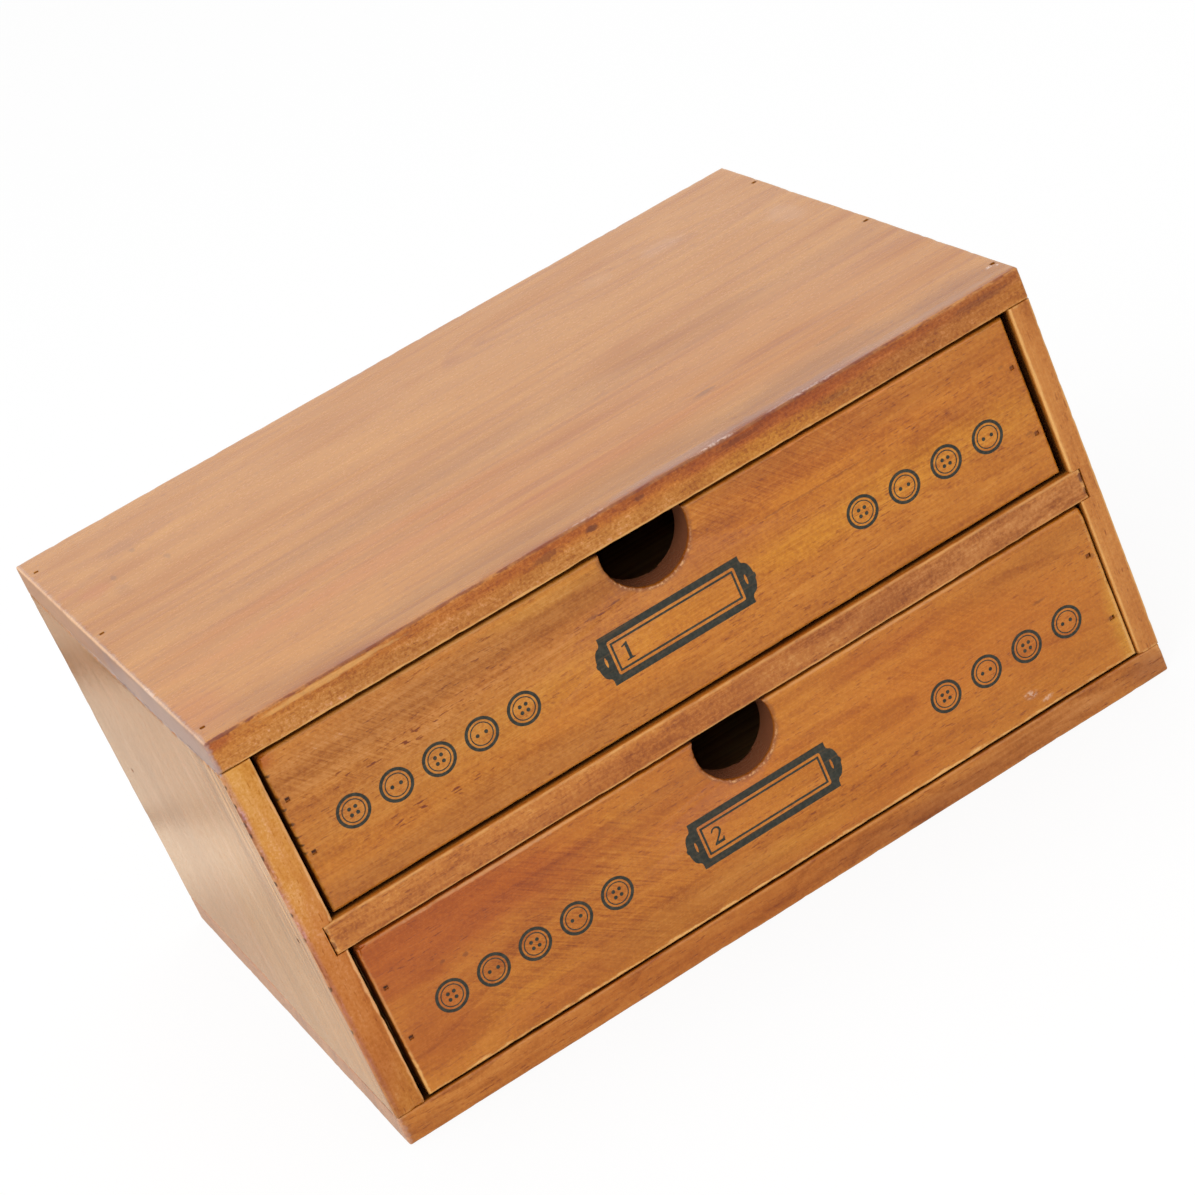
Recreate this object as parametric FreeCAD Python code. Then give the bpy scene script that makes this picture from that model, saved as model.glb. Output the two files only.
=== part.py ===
import FreeCAD, Part

import os

# Button storage drawers: a small stained-wood case with two drawers, one above the other.
# Millimetres. +X is to the right, +Z is up, and the drawer fronts face -Y.
# The origin is the centre of the footprint, on the surface that the case stands on.

# ---- Case boards ----
case_width = 250.0
case_depth = 180.0
top_board_thickness = 9.6
bottom_board_thickness = 9.0
left_board_thickness = 9.0
right_board_thickness = 6.8
divider_thickness = 9.3
upper_bay_height = 51.2
lower_bay_height = 50.4
board_rounding = 0.6

# The divider is housed in a dado in each side board and stops short of its end wall.
left_dado_depth = 3.5
right_dado_depth = 3.0
dado_end_gap = 0.7

# The back panel lies in a rebate that runs round the rear of the four case boards.
back_panel_thickness = 3.0
rebate_width = 3.5
back_panel_play = 0.2

# ---- Drawers ----
drawer_side_play = 3.0
upper_drawer_left_gap = 1.4
lower_drawer_left_gap = 1.7
upper_front_head_gap = 1.8
lower_front_head_gap = 1.1
front_floor_gap = 0.6
runner_gap = 0.2
home_recess = 2.2
home_gap = 0.3
lower_drawer_pull = 1.9
drawer_front_thickness = 9.0
drawer_side_thickness = 5.0
drawer_back_thickness = 7.0
side_top_drop = 6.0
front_rounding = 1.0
drawer_edge_rounding = 0.5

# Drawer bottom: a thin panel that slides into grooves and is tacked up into the back.
drawer_bottom_thickness = 3.0
groove_height = 3.5
side_groove_depth = 2.2
front_groove_depth = 3.5
groove_end_gap = 0.2

# Finger notches: bored through the front, centred a little below its top edge.
upper_notch_radius = 13.1
upper_notch_drop = 2.4
lower_notch_radius = 12.1
lower_notch_drop = 4.6
notch_rim_chamfer = 0.5

# ---- Nails ----
case_nail_width = 1.3
case_nail_length = 20.0
drawer_nail_width = 1.2
drawer_nail_length = 18.0
back_nail_length = 14.0
brad_width = 1.0
brad_length = 11.0
tack_length = 9.0
nail_point_length = 2.0
punch_depth = 0.5
nail_fit = 0.05

# Rows of three in the top and bottom boards, measured from the nearest edges.
left_row_inset = 3.2
left_row_front_inset = 9.5
left_row_back_inset = 13.0
left_row_middle_shift = 11.0
right_row_inset = 2.0
right_row_front_inset = 10.0
right_row_back_inset = 26.0
divider_nail_front_inset = 10.0
divider_nail_back_inset = 22.0
panel_brad_end_inset = 30.0

# In the drawer fronts, measured up from the front's lower edge.
front_nail_upper_height = 34.5
left_front_nail_lower_height = 18.0
right_front_nail_lower_height = 14.0
back_nail_inset = 8.0
tack_end_inset = 28.0

# Cutting tools run past the faces that they open.
overcut = 1.0
same_place = 1e-6

# ---- Planes of the case ----
case_left = -case_width / 2
case_right = case_width / 2
case_front = -case_depth / 2
case_back = case_depth / 2
bay_left = case_left + left_board_thickness
bay_right = case_right - right_board_thickness
back_panel_front = case_back - back_panel_thickness
lower_floor = bottom_board_thickness
divider_bottom = lower_floor + lower_bay_height
upper_floor = divider_bottom + divider_thickness
upper_ceiling = upper_floor + upper_bay_height
case_height = upper_ceiling + top_board_thickness

# ---- Sizes that both drawers share ----
drawer_width = bay_right - bay_left - drawer_side_play
drawer_length = back_panel_front - home_gap - case_front - home_recess

left = FreeCAD.Vector(-1, 0, 0)
right = FreeCAD.Vector(1, 0, 0)
forward = FreeCAD.Vector(0, -1, 0)
backward = FreeCAD.Vector(0, 1, 0)
down = FreeCAD.Vector(0, 0, -1)
up = FreeCAD.Vector(0, 0, 1)


def block(low, high):
    """Box between two opposite corners."""
    size = FreeCAD.Vector(*high) - FreeCAD.Vector(*low)
    return Part.makeBox(size.x, size.y, size.z, FreeCAD.Vector(*low))


def edges_in_plane(shape, axis, place):
    """The edges that lie wholly in the plane where the axis (X, Y or Z) has this place."""
    chosen = []
    for edge in shape.Edges:
        lowest = getattr(edge.BoundBox, axis + "Min")
        highest = getattr(edge.BoundBox, axis + "Max")
        if abs(lowest - place) < same_place and abs(highest - place) < same_place:
            chosen.append(edge)
    return chosen


def edges_along(shape, axis):
    """The straight edges of a box that run along the axis (X, Y or Z)."""
    others = [name for name in "XYZ" if name != axis]
    chosen = []
    for edge in shape.Edges:
        spans = [getattr(edge.BoundBox, name + "Length") for name in others]
        if max(spans) < same_place:
            chosen.append(edge)
    return chosen


def edges_along_top(board, height):
    """The two long upper edges of a board that stands across the drawer."""
    lengthwise = edges_along(board, "X")
    return [edge for edge in lengthwise if abs(edge.BoundBox.ZMax - height) < same_place]


def cut_from(shape, tools):
    """The one solid that is left when the tools are cut from the shape."""
    remainder = shape
    for tool in tools:
        remainder = remainder.cut(tool)
    return remainder.Solids[0]


class Nail:
    """A headless nail of square section with a chisel point, punched just below the surface."""

    def __init__(self, surface, direction, length, width):
        self.place = FreeCAD.Placement(FreeCAD.Vector(*surface), FreeCAD.Rotation(up, direction))
        self.length = length
        self.width = width

    def solid(self):
        half = self.width / 2
        tip = punch_depth + self.length
        shoulder = tip - nail_point_length
        outline = [
            (-half, punch_depth),
            (half, punch_depth),
            (half, shoulder),
            (0, tip),
            (-half, shoulder),
            (-half, punch_depth),
        ]
        profile = Part.makePolygon([FreeCAD.Vector(across, -half, along) for across, along in outline])
        shank = Part.Face(profile).extrude(backward * self.width)
        shank.Placement = self.place
        return shank

    def hole(self):
        half = self.width / 2 + nail_fit
        slot = block((-half, -half, -overcut), (half, half, punch_depth + self.length + nail_fit))
        slot.Placement = self.place
        return slot


def solids_of(nails):
    """One shape that holds the nails of a group as separate solids."""
    return Part.makeCompound([nail.solid() for nail in nails])


def holes_of(nails):
    return [nail.hole() for nail in nails]


# ---- Nails of the case ----

def row_from_front(front_inset, back_inset, middle_shift):
    """Y places of three nails: near the front, near the back and between them."""
    first = case_front + front_inset
    last = case_back - back_inset
    return [first, (first + last) / 2 + middle_shift, last]


def board_nails(height, direction):
    """The rows that hold the top or bottom board to the ends of the two side boards."""
    left_row = row_from_front(left_row_front_inset, left_row_back_inset, left_row_middle_shift)
    right_row = row_from_front(right_row_front_inset, right_row_back_inset, 0)
    places = [(case_left + left_row_inset, place) for place in left_row]
    places += [(case_right - right_row_inset, place) for place in right_row]
    return [Nail((x, y, height), direction, case_nail_length, case_nail_width) for x, y in places]


def divider_nails():
    """Driven through the side boards into the ends of the divider."""
    middle = (divider_bottom + upper_floor) / 2
    nails = []
    for face, direction in ((case_left, right), (case_right, left)):
        for place in (case_front + divider_nail_front_inset, case_back - divider_nail_back_inset):
            surface = (face, place, middle)
            nails.append(Nail(surface, direction, case_nail_length, case_nail_width))
    return nails


def back_panel_brads():
    """Driven from behind through the panel's margin into the four case boards."""
    margin = rebate_width / 2
    places = []
    for height in (lower_floor - margin, upper_ceiling + margin):
        for across in (bay_left + panel_brad_end_inset, 0, bay_right - panel_brad_end_inset):
            places.append((across, case_back, height))
    for across in (bay_left - margin, bay_right + margin):
        for height in ((lower_floor + divider_bottom) / 2, (upper_floor + upper_ceiling) / 2):
            places.append((across, case_back, height))
    return [Nail(place, forward, brad_length, brad_width) for place in places]


# ---- Case ----

def build_case():
    """The fixed pieces, by name."""
    groups = {
        "top_nails": board_nails(case_height, down),
        "bottom_nails": board_nails(0, up),
        "divider_nails": divider_nails(),
        "back_panel_brads": back_panel_brads(),
    }
    nail_holes = []
    for nails in groups.values():
        nail_holes += holes_of(nails)

    rebate = block(
        (bay_left - rebate_width, back_panel_front, lower_floor - rebate_width),
        (bay_right + rebate_width, case_back + overcut, upper_ceiling + rebate_width),
    )
    dado = block(
        (bay_left - left_dado_depth, case_front - overcut, divider_bottom),
        (bay_right + right_dado_depth, back_panel_front, upper_floor),
    )

    top = block((case_left, case_front, upper_ceiling), (case_right, case_back, case_height))
    top = top.makeFillet(board_rounding, top.Edges)
    bottom = block((case_left, case_front, 0), (case_right, case_back, lower_floor))
    bottom = bottom.makeFillet(board_rounding, bottom.Edges)
    left_side = block((case_left, case_front, lower_floor), (bay_left, case_back, upper_ceiling))
    left_side = left_side.makeFillet(board_rounding, edges_along(left_side, "Z"))
    right_side = block((bay_right, case_front, lower_floor), (case_right, case_back, upper_ceiling))
    right_side = right_side.makeFillet(board_rounding, edges_along(right_side, "Z"))
    divider = block(
        (bay_left - left_dado_depth + dado_end_gap, case_front, divider_bottom),
        (bay_right + right_dado_depth - dado_end_gap, back_panel_front, upper_floor),
    )
    divider = divider.makeFillet(board_rounding, edges_in_plane(divider, "Y", case_front))
    panel = block(
        (bay_left - rebate_width + back_panel_play, back_panel_front,
         lower_floor - rebate_width + back_panel_play),
        (bay_right + rebate_width - back_panel_play, case_back,
         upper_ceiling + rebate_width - back_panel_play),
    )

    pieces = {
        "top_board": cut_from(top, [rebate] + nail_holes),
        "bottom_board": cut_from(bottom, [rebate] + nail_holes),
        "left_side_board": cut_from(left_side, [rebate, dado] + nail_holes),
        "right_side_board": cut_from(right_side, [rebate, dado] + nail_holes),
        "divider_shelf": cut_from(divider, nail_holes),
        "back_panel": cut_from(panel, nail_holes),
    }
    for name, nails in groups.items():
        pieces[name] = solids_of(nails)
    return pieces


# ---- Drawers ----

class Drawer:
    """One drawer where it stands in its bay."""

    def __init__(self, name, floor, ceiling, left_gap, head_gap, pull, notch_radius, notch_drop):
        self.name = name
        self.notch_radius = notch_radius
        self.notch_drop = notch_drop
        self.left = bay_left + left_gap
        self.right = self.left + drawer_width
        self.middle = (self.left + self.right) / 2
        self.face = case_front + home_recess - pull
        self.front_rear = self.face + drawer_front_thickness
        self.rear = self.face + drawer_length
        self.back_face = self.rear - drawer_back_thickness
        self.front_bottom = floor + front_floor_gap
        self.front_top = ceiling - head_gap
        self.side_bottom = floor + runner_gap
        self.side_top = self.front_top - side_top_drop
        self.inner_left = self.left + drawer_side_thickness
        self.inner_right = self.right - drawer_side_thickness
        self.panel_bottom = self.side_bottom + groove_height
        self.panel_top = self.panel_bottom + drawer_bottom_thickness

    def front_nails(self):
        """Through the front into the ends of the two sides."""
        margin = drawer_side_thickness / 2
        nails = []
        for across, lower_height in (
            (self.left + margin, left_front_nail_lower_height),
            (self.right - margin, right_front_nail_lower_height),
        ):
            for height in (lower_height, front_nail_upper_height):
                surface = (across, self.face, self.front_bottom + height)
                nails.append(Nail(surface, backward, drawer_nail_length, drawer_nail_width))
        return nails

    def back_nails(self):
        """Through the sides into the ends of the back."""
        place = self.rear - drawer_back_thickness / 2
        nails = []
        for face, direction in ((self.left, right), (self.right, left)):
            for height in (self.panel_top + back_nail_inset, self.side_top - back_nail_inset):
                surface = (face, place, height)
                nails.append(Nail(surface, direction, back_nail_length, drawer_nail_width))
        return nails

    def bottom_tacks(self):
        """Up through the bottom panel into the lower edge of the back."""
        place = self.rear - drawer_back_thickness / 2
        outer_places = (self.inner_left + tack_end_inset, self.inner_right - tack_end_inset)
        nails = []
        for across in (self.middle,) + outer_places:
            surface = (across, place, self.panel_bottom)
            nails.append(Nail(surface, up, tack_length, brad_width))
        return nails

    def finger_notch(self):
        """The bore and the eased rim where it breaks out of the front's face."""
        start = FreeCAD.Vector(self.middle, self.face - overcut, self.front_top - self.notch_drop)
        bore = Part.makeCylinder(
            self.notch_radius, drawer_front_thickness + 2 * overcut, start, backward)
        rim = Part.makeCone(
            self.notch_radius + notch_rim_chamfer + overcut, self.notch_radius,
            notch_rim_chamfer + overcut, start, backward)
        return [bore, rim]

    def bottom_panel(self):
        return block(
            (self.inner_left - side_groove_depth + groove_end_gap,
             self.front_rear - front_groove_depth + groove_end_gap, self.panel_bottom),
            (self.inner_right + side_groove_depth - groove_end_gap, self.rear, self.panel_top),
        )

    def groove(self):
        """The slot that the bottom panel slides into: open at the rear, stopped in the front."""
        return block(
            (self.inner_left - side_groove_depth, self.front_rear - front_groove_depth,
             self.panel_bottom),
            (self.inner_right + side_groove_depth, self.rear + overcut, self.panel_top),
        )

    def side(self, low_x, high_x):
        board = block((low_x, self.front_rear, self.side_bottom), (high_x, self.rear, self.side_top))
        upper_edges = edges_in_plane(board, "Z", self.side_top)
        return board.makeFillet(drawer_edge_rounding, upper_edges)

    def build(self):
        """The pieces of the drawer, by name."""
        groups = {
            "front_nails": self.front_nails(),
            "back_nails": self.back_nails(),
            "bottom_tacks": self.bottom_tacks(),
        }
        nail_holes = []
        for nails in groups.values():
            nail_holes += holes_of(nails)

        front = block(
            (self.left, self.face, self.front_bottom),
            (self.right, self.front_rear, self.front_top),
        )
        front = front.makeFillet(front_rounding, edges_in_plane(front, "Y", self.face))
        back = block(
            (self.inner_left, self.back_face, self.panel_top),
            (self.inner_right, self.rear, self.side_top),
        )
        back = back.makeFillet(drawer_edge_rounding, edges_along_top(back, self.side_top))

        pieces = {
            "front": cut_from(front, self.finger_notch() + [self.groove()] + nail_holes),
            "left_side": cut_from(self.side(self.left, self.inner_left), [self.groove()] + nail_holes),
            "right_side": cut_from(self.side(self.inner_right, self.right), [self.groove()] + nail_holes),
            "back": cut_from(back, nail_holes),
            "bottom": cut_from(self.bottom_panel(), nail_holes),
        }
        for name, nails in groups.items():
            pieces[name] = solids_of(nails)
        return {self.name + "_drawer_" + name: piece for name, piece in pieces.items()}


upper_drawer = Drawer(
    "upper", upper_floor, upper_ceiling, upper_drawer_left_gap, upper_front_head_gap, 0,
    upper_notch_radius, upper_notch_drop)
lower_drawer = Drawer(
    "lower", lower_floor, divider_bottom, lower_drawer_left_gap, lower_front_head_gap,
    lower_drawer_pull, lower_notch_radius, lower_notch_drop)

parts = {}
parts.update(build_case())
parts.update(upper_drawer.build())
parts.update(lower_drawer.build())

os.makedirs("parts", exist_ok=True)
for name, shape in parts.items():
    shape.exportStep("parts/" + name + ".step")
    print(name, len(shape.Solids), "solids", round(shape.Volume, 1), "mm3", shape.isValid())
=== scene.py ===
"""Button storage drawers: a stained wooden case with two drawers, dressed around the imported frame."""

import math

import bmesh
import bpy
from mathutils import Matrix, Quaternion, Vector, noise


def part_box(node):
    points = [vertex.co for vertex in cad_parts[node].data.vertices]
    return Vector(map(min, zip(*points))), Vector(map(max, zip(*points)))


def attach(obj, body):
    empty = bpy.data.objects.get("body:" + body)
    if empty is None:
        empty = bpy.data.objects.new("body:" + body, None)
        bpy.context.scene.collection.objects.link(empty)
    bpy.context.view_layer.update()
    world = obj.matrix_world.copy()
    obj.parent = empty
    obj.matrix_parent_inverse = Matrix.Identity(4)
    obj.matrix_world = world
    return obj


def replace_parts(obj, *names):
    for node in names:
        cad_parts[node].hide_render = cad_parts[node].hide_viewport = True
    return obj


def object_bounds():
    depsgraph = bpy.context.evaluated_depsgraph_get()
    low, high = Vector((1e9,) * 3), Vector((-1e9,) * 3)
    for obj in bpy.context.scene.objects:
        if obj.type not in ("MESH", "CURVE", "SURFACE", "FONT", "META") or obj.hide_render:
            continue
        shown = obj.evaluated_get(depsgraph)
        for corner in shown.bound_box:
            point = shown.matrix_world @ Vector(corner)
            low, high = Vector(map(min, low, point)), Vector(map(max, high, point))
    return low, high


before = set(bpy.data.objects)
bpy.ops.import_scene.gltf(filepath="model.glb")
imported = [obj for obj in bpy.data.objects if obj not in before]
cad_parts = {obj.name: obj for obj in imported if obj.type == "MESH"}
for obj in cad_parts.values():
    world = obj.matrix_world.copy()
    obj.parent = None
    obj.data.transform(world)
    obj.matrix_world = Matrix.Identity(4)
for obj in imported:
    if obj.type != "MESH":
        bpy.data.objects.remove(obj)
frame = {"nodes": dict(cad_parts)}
cad_low, cad_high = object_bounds()

# -------- driving sizes, in metres

SIDEWAYS, INWARD, UPRIGHT = 0, 1, 2
ANYWHERE = 10.0

# How far the worn band of an arris reaches, where it is cut, and how finely.
arris_reach = 0.0026
rim_width = 0.0025
arris_loops = (0.0011, 0.0024)
arris_step = 0.0016
same_place = 1e-6

# How deep the arrises are worn.
board_wear = 0.00026
left_board_wear = 0.00038
front_wear = 0.00022

# The finger notches, and how far their torn rims reach outwards and inwards.
notch_radius = {"upper": 0.0131, "lower": 0.0121}
notch_drop = {"upper": 0.0024, "lower": 0.0046}
tear_width = 0.0009
tear_depth = 0.0016

# The divider's swollen ends, and the corners and the right ends of the drawer fronts.
swell_length = 0.0012
swell_depth = 0.0025
corner_reach = 0.0032
corner_wear = {"upper": (0.0006, 0.0), "lower": (0.0009, 0.0004)}
splay_length = 0.0030
splay = {"upper": None, "lower": (0.00095, 0.00055)}

# The printing on the fronts.
ink_proud = 0.00003
ink_sunk = 0.00005
label_size = (0.0441, 0.0144)
label_middle = {"upper": (0.0003, 0.0906), "lower": (0.00125, 0.03095)}
button_rows = {
    "upper": {"left": (-0.0725, 0.0916, 0.0612, 5), "right": (0.0799, 0.0900, 0.0505, 4)},
    "lower": {"left": (-0.07135, 0.0319, 0.0613, 5), "right": (0.08115, 0.0301, 0.0503, 4)},
}
button_radius = 0.0048
button_lines = (0.0, 0.0009, 0.0015, 0.0018)
hole_radius = 0.00055
hole_offset = 0.0013


def stain(red, green, blue):
    """A colour as a maker reads it off a swatch, 0 to 255, as the linear colour that a shader takes."""
    shades = (red / 255, green / 255, blue / 255)
    linear = [s / 12.92 if s <= 0.04045 else ((s + 0.055) / 1.055) ** 2.4 for s in shades]
    return (*linear, 1.0)


# -------- shader maths


class Signal:
    """A value that changes over a surface: one socket of a node, used in plain expressions."""

    def __init__(self, nodes, socket):
        self.nodes = nodes
        self.socket = socket

    def maths(self, operation, *values):
        return self.nodes.node("ShaderNodeMath", {"operation": operation}, dict(enumerate(values)))

    def __add__(self, other):
        return self.maths("ADD", self, other)

    __radd__ = __add__

    def __sub__(self, other):
        return self.maths("SUBTRACT", self, other)

    def __rsub__(self, other):
        return self.maths("SUBTRACT", other, self)

    def __mul__(self, other):
        return self.maths("MULTIPLY", self, other)

    __rmul__ = __mul__

    def __truediv__(self, other):
        return self.maths("DIVIDE", self, other)

    def __pow__(self, other):
        return self.maths("POWER", self, other)

    def __abs__(self):
        return self.maths("ABSOLUTE", self)

    def fraction(self):
        return self.maths("FRACT", self)

    def least(self, other):
        return self.maths("MINIMUM", self, other)

    def most(self, other):
        return self.maths("MAXIMUM", self, other)

    def rise(self, start, end, low=0.0, high=1.0):
        """Goes smoothly from low to high as the signal goes from start to end."""
        inputs = {0: self, 1: start, 2: end, 3: low, 4: high}
        return self.nodes.node("ShaderNodeMapRange", {"interpolation_type": "SMOOTHSTEP"}, inputs)

    def fall(self, start, end, low=0.0, high=1.0):
        return self.rise(start, end, high, low)


class Nodes:
    """The nodes of one material or of the world."""

    def __init__(self, owner):
        owner.use_nodes = True
        self.tree = owner.node_tree

    def node(self, kind, settings=None, inputs=None, output=0):
        """Adds a node: its settings come first, then the values or the links of its sockets."""
        made = self.tree.nodes.new(kind)
        for name, value in (settings or {}).items():
            if name == "stops":
                self.set_stops(made.color_ramp, value)
            else:
                setattr(made, name, value)
        for name, value in (inputs or {}).items():
            if isinstance(value, Signal):
                self.tree.links.new(value.socket, made.inputs[name])
            else:
                made.inputs[name].default_value = value
        return Signal(self, made.outputs[output] if made.outputs else None)

    def set_stops(self, ramp, stops):
        """Gives a colour ramp its stops: pairs of a place and a colour, in rising order."""
        while len(ramp.elements) < len(stops):
            ramp.elements.new(0.5)
        for element, (place, colour) in zip(ramp.elements, stops):
            element.position = place
            element.color = colour

    def ray(self, kind):
        return self.node("ShaderNodeLightPath", output="Is " + kind + " Ray")

    def light(self, kind, colour, strength):
        return self.node(kind, inputs={"Color": colour, "Strength": strength})

    def blend(self, share, first, second):
        return self.node("ShaderNodeMixShader", inputs={0: share, 1: first, 2: second})


class Finish(Nodes):
    """One material: a Principled surface and the nodes that feed it."""

    def __init__(self, name, **constants):
        self.material = bpy.data.materials.new(name)
        super().__init__(self.material)
        self.surface = self.tree.nodes["Principled BSDF"]
        for socket_name, value in constants.items():
            self.surface.inputs[socket_name.replace("_", " ")].default_value = value
        self.place = self.node("ShaderNodeTexCoord", output="Object")
        self.axes = self.split(self.place)

    def split(self, vector):
        parts = self.node("ShaderNodeSeparateXYZ", inputs={0: vector}).socket.node.outputs
        return [Signal(self, part) for part in parts]

    def feed(self, **signals):
        for socket_name, signal in signals.items():
            self.tree.links.new(signal.socket, self.surface.inputs[socket_name.replace("_", " ")])

    def vector(self, operation, first, second, output=0):
        return self.node("ShaderNodeVectorMath", {"operation": operation}, {0: first, 1: second}, output)

    def mix(self, first, second, share, blend="MIX"):
        settings = {"data_type": "RGBA", "blend_type": blend, "clamp_factor": True}
        return self.node("ShaderNodeMix", settings, {0: share, 6: first, 7: second}, output=2)

    def noise(self, size, seed=0.0, detail=2.0, roughness=0.5, place=None):
        """A cloud whose lumps measure size along x, y and z."""
        scaled = self.vector("DIVIDE", place or self.place, size)
        moved = self.vector("ADD", scaled, (seed * 3.1, seed * 1.7, seed * 2.3))
        inputs = {"Vector": moved, "Scale": 1.0, "Detail": detail, "Roughness": roughness}
        return self.node("ShaderNodeTexNoise", {"noise_dimensions": "3D"}, inputs)

    def bands(self, signal, detail=3.0, roughness=0.6):
        """Uneven bands that follow a signal, one or so for each whole step of it."""
        inputs = {"W": signal, "Scale": 1.0, "Detail": detail, "Roughness": roughness}
        return self.node("ShaderNodeTexNoise", {"noise_dimensions": "1D"}, inputs)

    def patch(self, middle, reach):
        """Distance from the middle of a patch, as a share of its reach along x, y and z."""
        scale = tuple(1.0 / length for length in reach)
        shift = tuple(-place / length for place, length in zip(middle, reach))
        inputs = {0: self.place, 1: scale, 2: shift}
        scaled = self.node("ShaderNodeVectorMath", {"operation": "MULTIPLY_ADD"}, inputs)
        return self.node("ShaderNodeVectorMath", {"operation": "LENGTH"}, {0: scaled}, "Value")

    def bump(self, height, distance, strength=1.0):
        inputs = {"Height": height, "Distance": distance, "Strength": strength}
        return self.node("ShaderNodeBump", inputs=inputs)


# -------- wood

# Sizes of the wood's marks, along the grain and across it.
streak_size = (0.060, 0.0021)
fibre_size = (0.020, 0.0007)
pore_size = (0.0030, 0.00042)
cloud_size = (0.050, 0.012)
blot_size = (0.0075, 0.0036)
tear_size = (0.0050, 0.0013)
dash_size = (0.0034, 0.0007)

# Sizes of other marks along x, y and z.
mottle_size = (0.0010, 0.0010, 0.0010)
tarnish_size = (0.0006, 0.0006, 0.0006)
stroke_size = (0.0080, 0.00045, 1.0)
ridge_size = (1.0, 0.0019, 0.080)

# Where a change starts and ends: distances from an arris, a nail or the front of the case.
arris_wear_and_highlight = (0.0002, 0.0011)
nail_stain = (0.0002, 0.0012)
nail_steel = (0.00020, 0.00055)
bay_dirt_and_shade_span = (0.006, 0.040)
ridges_fade = (0.008, 0.044)
ridges_rise = (0.020, 0.085)
turned_to = (0.55, 0.90)


def lengthwise(grain, long_size, short_size):
    """The size of a lump that is stretched along the grain."""
    return tuple(long_size if axis == grain else short_size for axis in range(3))


def arris_distance(wood, low, high):
    """How far a point of a board's surface lies from the board's nearest arris."""
    x, y, z = [(axis - low[i]).least(high[i] - axis) for i, axis in enumerate(wood.axes)]
    return x.least(y).most(x.most(y).least(z))


def growth_rings(wood, middle, grain, heart, ring_width, seed):
    """Counts the rings outwards from the heart of the tree that the board was sawn from."""
    wander = (wood.noise(lengthwise(grain, 0.090, 0.030), seed, 1.0) - 0.5) * 0.016
    first, second = [
        wood.axes[axis] - (middle[axis] + heart[index]) + wander
        for index, axis in enumerate(i for i in range(3) if i != grain)
    ]
    radius = (first * first + second * second) ** 0.5
    return radius / ring_width + seed


def late_wood(wood, count):
    """The dark side of each ring, which comes on slowly and ends sharply."""
    uneven = count + wood.bands(count * 0.3, 1.0) * 1.6
    phase = uneven.fraction()
    strength = wood.bands(count * 0.45 + 31.0, 1.0).rise(0.32, 0.62)
    return phase.rise(0.10, 0.86) * phase.fall(0.90, 1.0) * strength


def arched_rings(wood, arch, seed):
    """The few wide rings of a board sawn flat: dark below each line, and arched over its length."""
    peak, height, spacing, flatness = arch
    sideways = wood.axes[SIDEWAYS] - peak
    wander = (wood.noise(lengthwise(SIDEWAYS, 0.035, 0.012), seed, 2.0) - 0.5) * 0.0050
    count = (wood.axes[UPRIGHT] - height + sideways * sideways / flatness + wander) / spacing
    phase = count.fraction()
    finer = (count * 5.0 + 0.37).fraction()
    wide = phase.rise(0.25, 0.96) * phase.fall(0.978, 1.0)
    narrow = finer.rise(0.3, 0.9) * finer.fall(0.92, 1.0)
    return wide + narrow * 0.22


def planer_strokes(wood, slant, seed):
    """Short slanting strokes, half a millimetre apart, that the planer left; slant is in degrees."""
    sine, cosine = math.sin(math.radians(slant)), math.cos(math.radians(slant))
    along = wood.axes[SIDEWAYS] * cosine - wood.axes[UPRIGHT] * sine
    across = wood.axes[SIDEWAYS] * sine + wood.axes[UPRIGHT] * cosine
    turned = wood.node("ShaderNodeCombineXYZ", inputs={0: along, 1: across})
    return wood.noise(stroke_size, seed + 12, 1.0, 0.5, turned)


def spots(wood, group, wander, start, end):
    """How strongly a group of spots covers a point; each spot has a strength, a middle and a reach."""
    cover = None
    for strength, middle, reach in group:
        spot = (wood.patch(middle, reach) + wander).rise(start, end, strength, 0.0)
        cover = spot if cover is None else cover.most(spot)
    return cover


def nearest_nail(wood, nails, nail_axis, stretch):
    """Distance to the nearest nail in the face it stands in, the spot stretched along one axis."""
    scale = [1.0, 1.0, 1.0]
    scale[nail_axis] = 0.0
    scale[stretch] = 0.62
    level = wood.vector("MULTIPLY", wood.place, tuple(scale))
    nearest = None
    for nail in nails:
        spot = tuple(nail[axis] * scale[axis] for axis in range(3))
        distance = wood.vector("DISTANCE", level, spot, "Value")
        nearest = distance if nearest is None else nearest.least(distance)
    return nearest


def nail_islands(node):
    """The middle of each nail of a node that holds several."""
    made = bmesh.new()
    made.from_mesh(frame["nodes"][node].data)
    bmesh.ops.remove_doubles(made, verts=made.verts, dist=same_place)
    waiting = dict.fromkeys(made.verts)
    middles = []
    while waiting:
        reached = [waiting.popitem()[0]]
        island = []
        while reached:
            vertex = reached.pop()
            island.append(vertex.co.copy())
            for edge in vertex.link_edges:
                other = edge.other_vert(vertex)
                if other in waiting:
                    del waiting[other]
                    reached.append(other)
        middles.append(sum(island, Vector()) / len(island))
    made.free()
    return sorted(middles, key=lambda middle: tuple(round(value, 5) for value in middle))


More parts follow.
